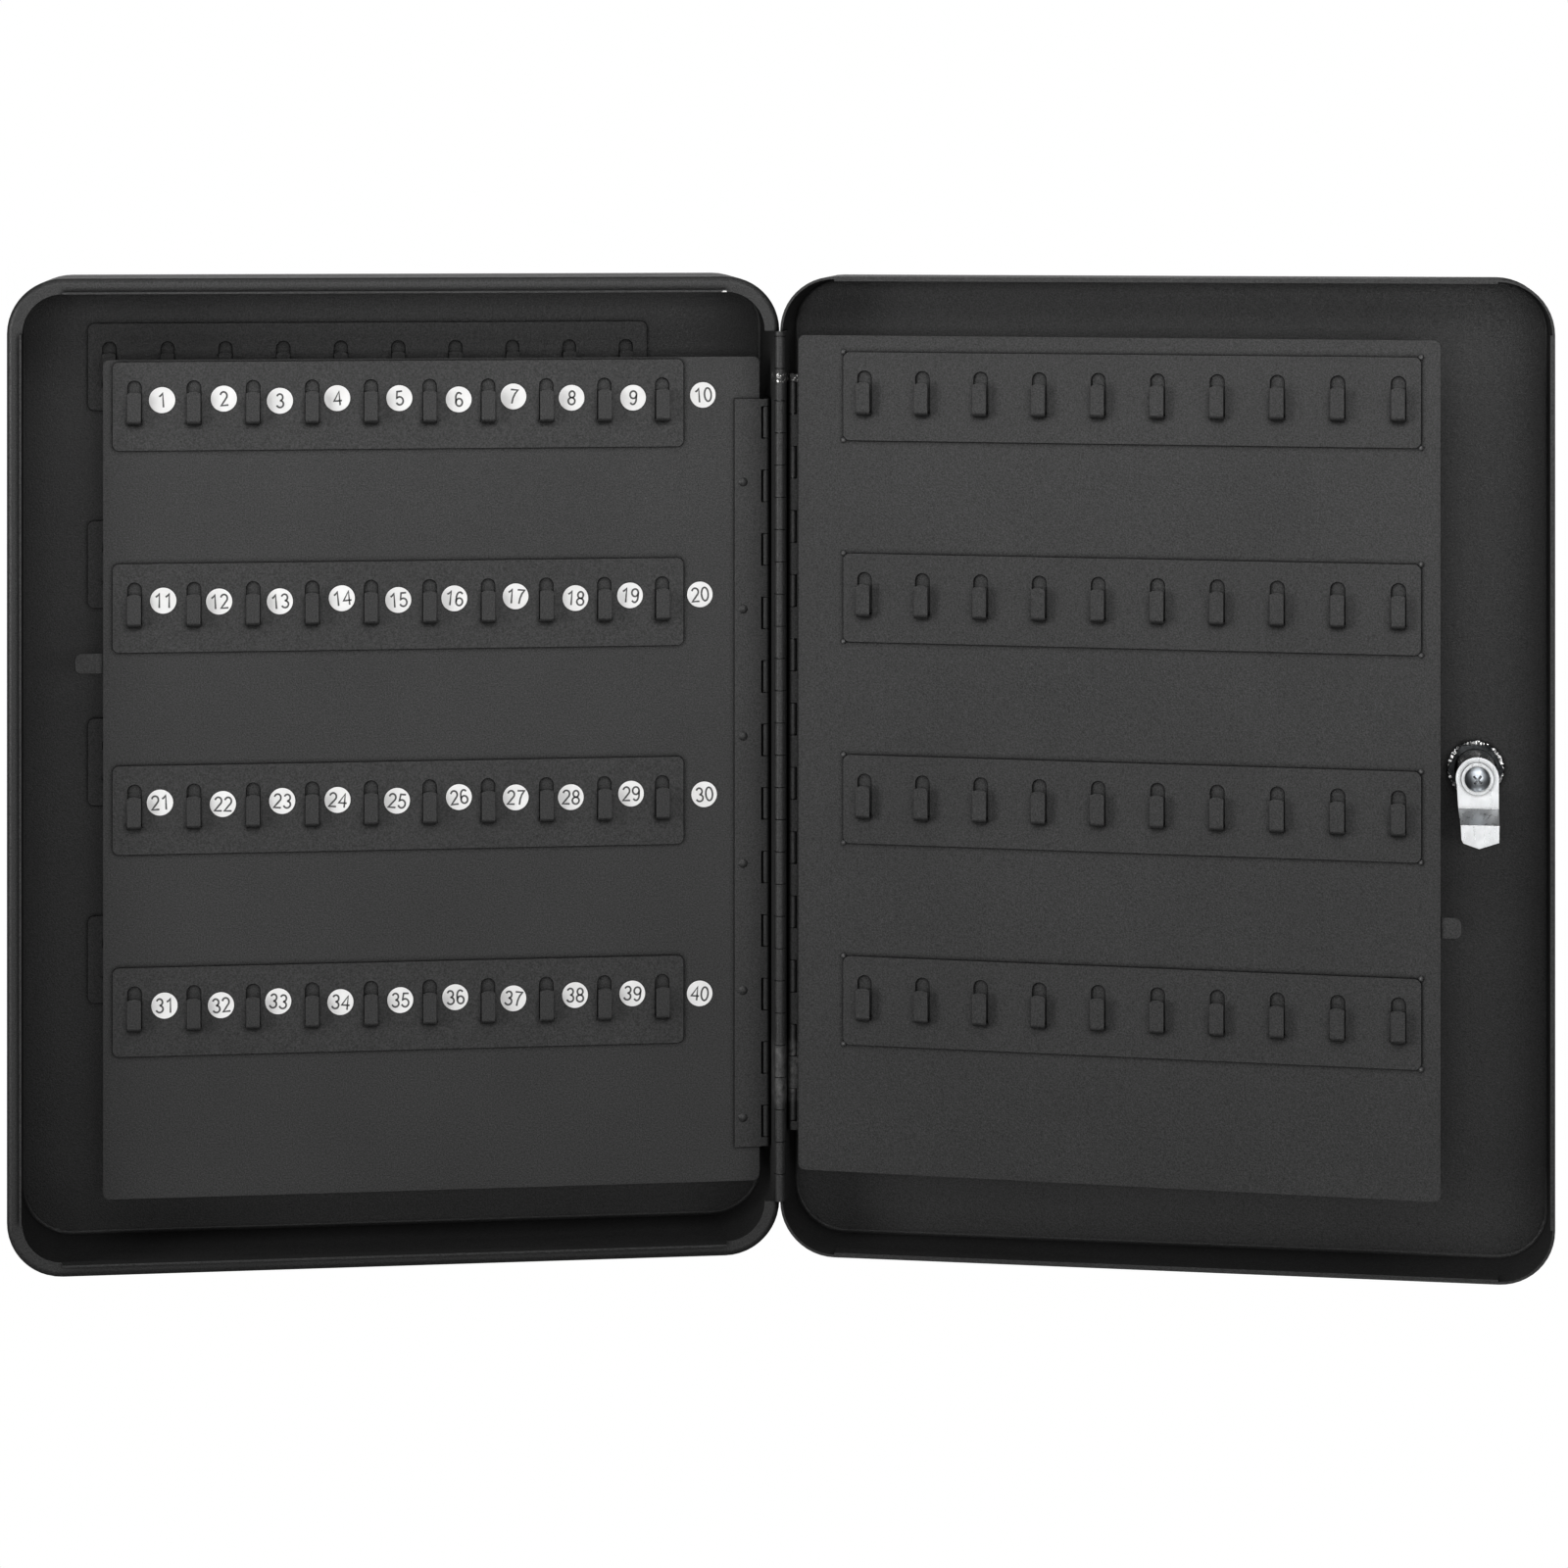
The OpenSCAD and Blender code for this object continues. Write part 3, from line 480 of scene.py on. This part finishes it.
def arc(x, y, rx, ry, start, end, steps=14):
    """Points along an elliptical arc, angles in degrees."""
    angles = [math.radians(start + (end - start) * i / steps) for i in range(steps + 1)]
    return [(x + rx * math.cos(a), y + ry * math.sin(a)) for a in angles]


def loop(x, y, rx, ry):
    """A whole ellipse; its last point meets the first."""
    return arc(x, y, rx, ry, 0, 360, 28)


SIX = [arc(0.28, 0.60, 0.20, 0.35, 42, 180) + [(0.08, 0.30)], loop(0.28, 0.30, 0.20, 0.25)]

# Centre lines of the numerals, one unit high with the pen's width.
STROKES = {
    "0": [loop(0.27, 0.50, 0.21, 0.45)],
    "1": [[(0.10, 0.74), (0.22, 0.82), (0.32, 0.95), (0.32, 0.02)]],
    "2": [arc(0.27, 0.70, 0.20, 0.25, 165, -38) + [(0.24, 0.29), (0.06, 0.05), (0.50, 0.05)]],
    "3": [arc(0.26, 0.73, 0.18, 0.22, 160, -90), arc(0.26, 0.28, 0.21, 0.23, 90, -160)],
    "4": [[(0.40, 0.02), (0.40, 0.93), (0.05, 0.32), (0.53, 0.32)]],
    "5": [[(0.47, 0.95), (0.16, 0.95), (0.10, 0.52)] + arc(0.26, 0.32, 0.22, 0.27, 128, -158)],
    "6": SIX,
    "7": [[(0.06, 0.95), (0.49, 0.95), (0.34, 0.70), (0.24, 0.38), (0.20, 0.02)]],
    "8": [loop(0.27, 0.73, 0.17, 0.22), loop(0.27, 0.28, 0.21, 0.23)],
    "9": [[(0.54 - x, 1.0 - y) for x, y in line] for line in SIX],
}


def pen_line(bm, points, width, height):
    """One pen stroke as a thin closed strip standing forward from XZ. A loop's ends are joined."""
    points = [Vector(p) for p in points]
    looped = (points[0] - points[-1]).length < 1e-4
    if looped:
        points.pop()
    count = len(points)
    rings = []
    for i, point in enumerate(points):
        before = points[(i - 1) % count] if looped or i > 0 else point
        after = points[(i + 1) % count] if looped or i < count - 1 else point
        ahead = (after - point).normalized() if after != point else (point - before).normalized()
        behind = (point - before).normalized() if before != point else ahead
        tangent = (ahead + behind).normalized()
        side = Vector((-tangent.y, tangent.x))
        reach = width / 2 / max(0.6, side.dot(Vector((-ahead.y, ahead.x))))
        corners = [(point + side * reach, 0), (point - side * reach, 0),
                   (point - side * reach, -height), (point + side * reach, -height)]
        rings.append([bm.verts.new((c.x, y, c.y)) for c, y in corners])
    for i in range(count if looped else count - 1):
        a, b = rings[i], rings[(i + 1) % count]
        for k in range(4):
            bm.faces.new((a[k], a[(k + 1) % 4], b[(k + 1) % 4], b[k]))
    if not looped:
        bm.faces.new(rings[0][::-1])
        bm.faces.new(rings[-1])


# Sizes of the numerals as a share of their height: pen width, and the pitch before the widening by BREADTH.
PEN = 0.11
PITCH = 0.6
BREADTH = 1.08


def number_mesh(text, height):
    """A mesh of the number as thin raised ink, upright in XZ and centred on the origin, facing -Y."""
    bm = bmesh.new()
    for place, digit in enumerate(text):
        for line in STROKES[digit]:
            points = [((x + place * PITCH) * BREADTH * height, y * height) for x, y in line]
            pen_line(bm, points, PEN * height, INK_HEIGHT)
    breadth = (PITCH * len(text) - 0.08) * BREADTH
    middle = Vector((breadth / 2 * height, 0, height / 2))
    bmesh.ops.translate(bm, verts=bm.verts, vec=-middle)
    bmesh.ops.recalc_face_normals(bm, faces=bm.faces[:])
    return bm


def make_numbers(material):
    """The printed numbers of the discs, each a little askew."""
    whole = bmesh.new()
    rng = random.Random(4)
    scratch = bpy.data.meshes.new("scratch")
    for index, centre in enumerate(disc_centres()):
        bm = number_mesh(str(index + 1), NUMERAL_HEIGHT)
        turn = Matrix.Rotation(math.radians(rng.uniform(-NUMERAL_TILT, NUMERAL_TILT)), 4, "Y")
        bm.transform(Matrix.Translation(centre) @ turn)
        bm.to_mesh(scratch)
        bm.free()
        whole.from_mesh(scratch)
    bpy.data.meshes.remove(scratch)
    obj = mesh_object("disc_numbers", whole, material, "panel_1")


def make_torn_ring(material):
    """Torn plating standing round the foot of the lock nut, bright and ragged."""
    axis = Vector(JOINTS["lock_turn"]["axis"]).normalized()
    centre = Vector(JOINTS["lock_turn"]["pos_m"])
    washer = NODES["lock_tooth_washer"]
    front = max((washer.matrix_world @ v.co - centre).dot(axis) for v in washer.data.vertices)
    across = axis.cross(Vector((0, 0, 1))).normalized()
    rng = random.Random(11)
    bm = bmesh.new()
    count = 132
    rings = []
    for i in range(count):
        angle = math.tau * i / count
        outward = math.cos(angle) * across + math.sin(angle) * Vector((0, 0, 1))
        flat = math.cos((angle + math.pi / 6) % (math.pi / 3) - math.pi / 6)
        outer = (12.1 + 0.5 / flat + rng.uniform(-0.35, 0.45)) * MM
        inner = (11.2 + rng.uniform(-0.2, 0.3)) * MM
        rise = rng.uniform(0.15, 0.9) * MM
        place = centre + axis * (front - 0.1 * MM)
        rings.append([bm.verts.new(place + outward * inner), bm.verts.new(place + outward * outer),
                      bm.verts.new(place + outward * (outer - 0.1 * MM) + axis * rise * 0.6),
                      bm.verts.new(place + outward * inner + axis * rise)])
    for a, b in zip(rings, rings[1:] + rings[:1]):
        for k in range(4):
            bm.faces.new((a[k], a[(k + 1) % 4], b[(k + 1) % 4], b[k]))
    bmesh.ops.recalc_face_normals(bm, faces=bm.faces[:])
    obj = mesh_object("lock_torn_plating", bm, material, "door")


# ---------------------------------------------------------------- studio

def camera_axes():
    right = Vector((math.cos(CAMERA_YAW), -math.sin(CAMERA_YAW), 0))
    forward = Vector((math.sin(CAMERA_YAW), math.cos(CAMERA_YAW), 0))
    return right, forward


def make_camera():
    right, forward = camera_axes()
    hinge = Vector(JOINTS["door_hinge"]["pos_m"])
    data = bpy.data.cameras.new("camera")
    data.sensor_width = 36.0
    data.lens = FOCAL_LENGTH_MM
    data.shift_y = LENS_SHIFT
    data.clip_end = 50.0
    obj = bpy.data.objects.new("camera", data)
    bpy.context.scene.collection.objects.link(obj)
    obj.location = hinge + CAMERA_SIDE * right - CAMERA_DISTANCE * forward
    obj.location.z = CAMERA_HEIGHT
    obj.rotation_euler = (math.radians(90), 0, -CAMERA_YAW)
    bpy.context.scene.camera = obj
    shift_lens_at_home(obj)


def shift_lens_at_home(camera):
    """Keeps the lens shift only where the camera stands now, so that it is centred from anywhere else."""
    home = bpy.data.objects.new("camera_home", None)
    home.location = camera.location
    bpy.context.scene.collection.objects.link(home)
    curve = camera.data.driver_add("shift_y")
    for modifier in list(curve.modifiers):
        curve.modifiers.remove(modifier)
    while curve.keyframe_points:
        curve.keyframe_points.remove(curve.keyframe_points[0])
    for away, shift in ((0.0, LENS_SHIFT), (HOME_RADIUS, 0.0)):
        key = curve.keyframe_points.insert(away, shift)
        key.interpolation = "LINEAR"
    curve.driver.type = "SUM"
    distance = curve.driver.variables.new()
    distance.type = "LOC_DIFF"
    distance.targets[0].id = camera
    distance.targets[1].id = home


def make_lights():
    for name, place, width, height, watts in LIGHTS:
        data = bpy.data.lights.new(name, "AREA")
        data.shape = "RECTANGLE"
        data.size = width
        data.size_y = height
        data.energy = watts
        obj = bpy.data.objects.new(name, data)
        bpy.context.scene.collection.objects.link(obj)
        obj.location = place
        obj.rotation_euler = (LIT_POINT - Vector(place)).to_track_quat("-Z", "Y").to_euler()


def make_world():
    """White backdrop for the camera, next to no light from it on anything else."""
    world = bpy.data.worlds.new("studio")
    world.use_nodes = True
    nodes, links = world.node_tree.nodes, world.node_tree.links
    nodes.clear()
    output = nodes.new("ShaderNodeOutputWorld")
    seen = nodes.new("ShaderNodeBackground")
    seen.inputs["Strength"].default_value = 1.0
    light = nodes.new("ShaderNodeBackground")
    light.inputs["Strength"].default_value = STRAY_LIGHT
    path = nodes.new("ShaderNodeLightPath")
    switch = nodes.new("ShaderNodeMixShader")
    for node in (seen, light):
        node.inputs["Color"].default_value = (1, 1, 1, 1)
    links.new(path.outputs["Is Camera Ray"], switch.inputs[0])
    links.new(light.outputs[0], switch.inputs[1])
    links.new(seen.outputs[0], switch.inputs[2])
    links.new(switch.outputs[0], output.inputs["Surface"])
    bpy.context.scene.world = world


def make_floor(material):
    bm = bmesh.new()
    bmesh.ops.create_grid(bm, x_segments=8, y_segments=8, size=FLOOR_HALF_WIDTH)
    mesh = bpy.data.meshes.new("floor")
    bm.to_mesh(mesh)
    bm.free()
    mesh.materials.append(material)
    obj = bpy.data.objects.new("floor", mesh)
    obj.location = (0, 0, FLOOR_Z)
    bpy.context.scene.collection.objects.link(obj)


# ---------------------------------------------------------------- build

materials = make_materials()
finish_cad_nodes(materials)
make_numbers(materials["ink"])
make_torn_ring(materials["chipped_edge"])
make_floor(materials["floor"])
make_world()
make_lights()
make_camera()
bpy.context.scene.view_settings.view_transform = "Standard"
bpy.context.scene.view_settings.gamma = DISPLAY_GAMMA
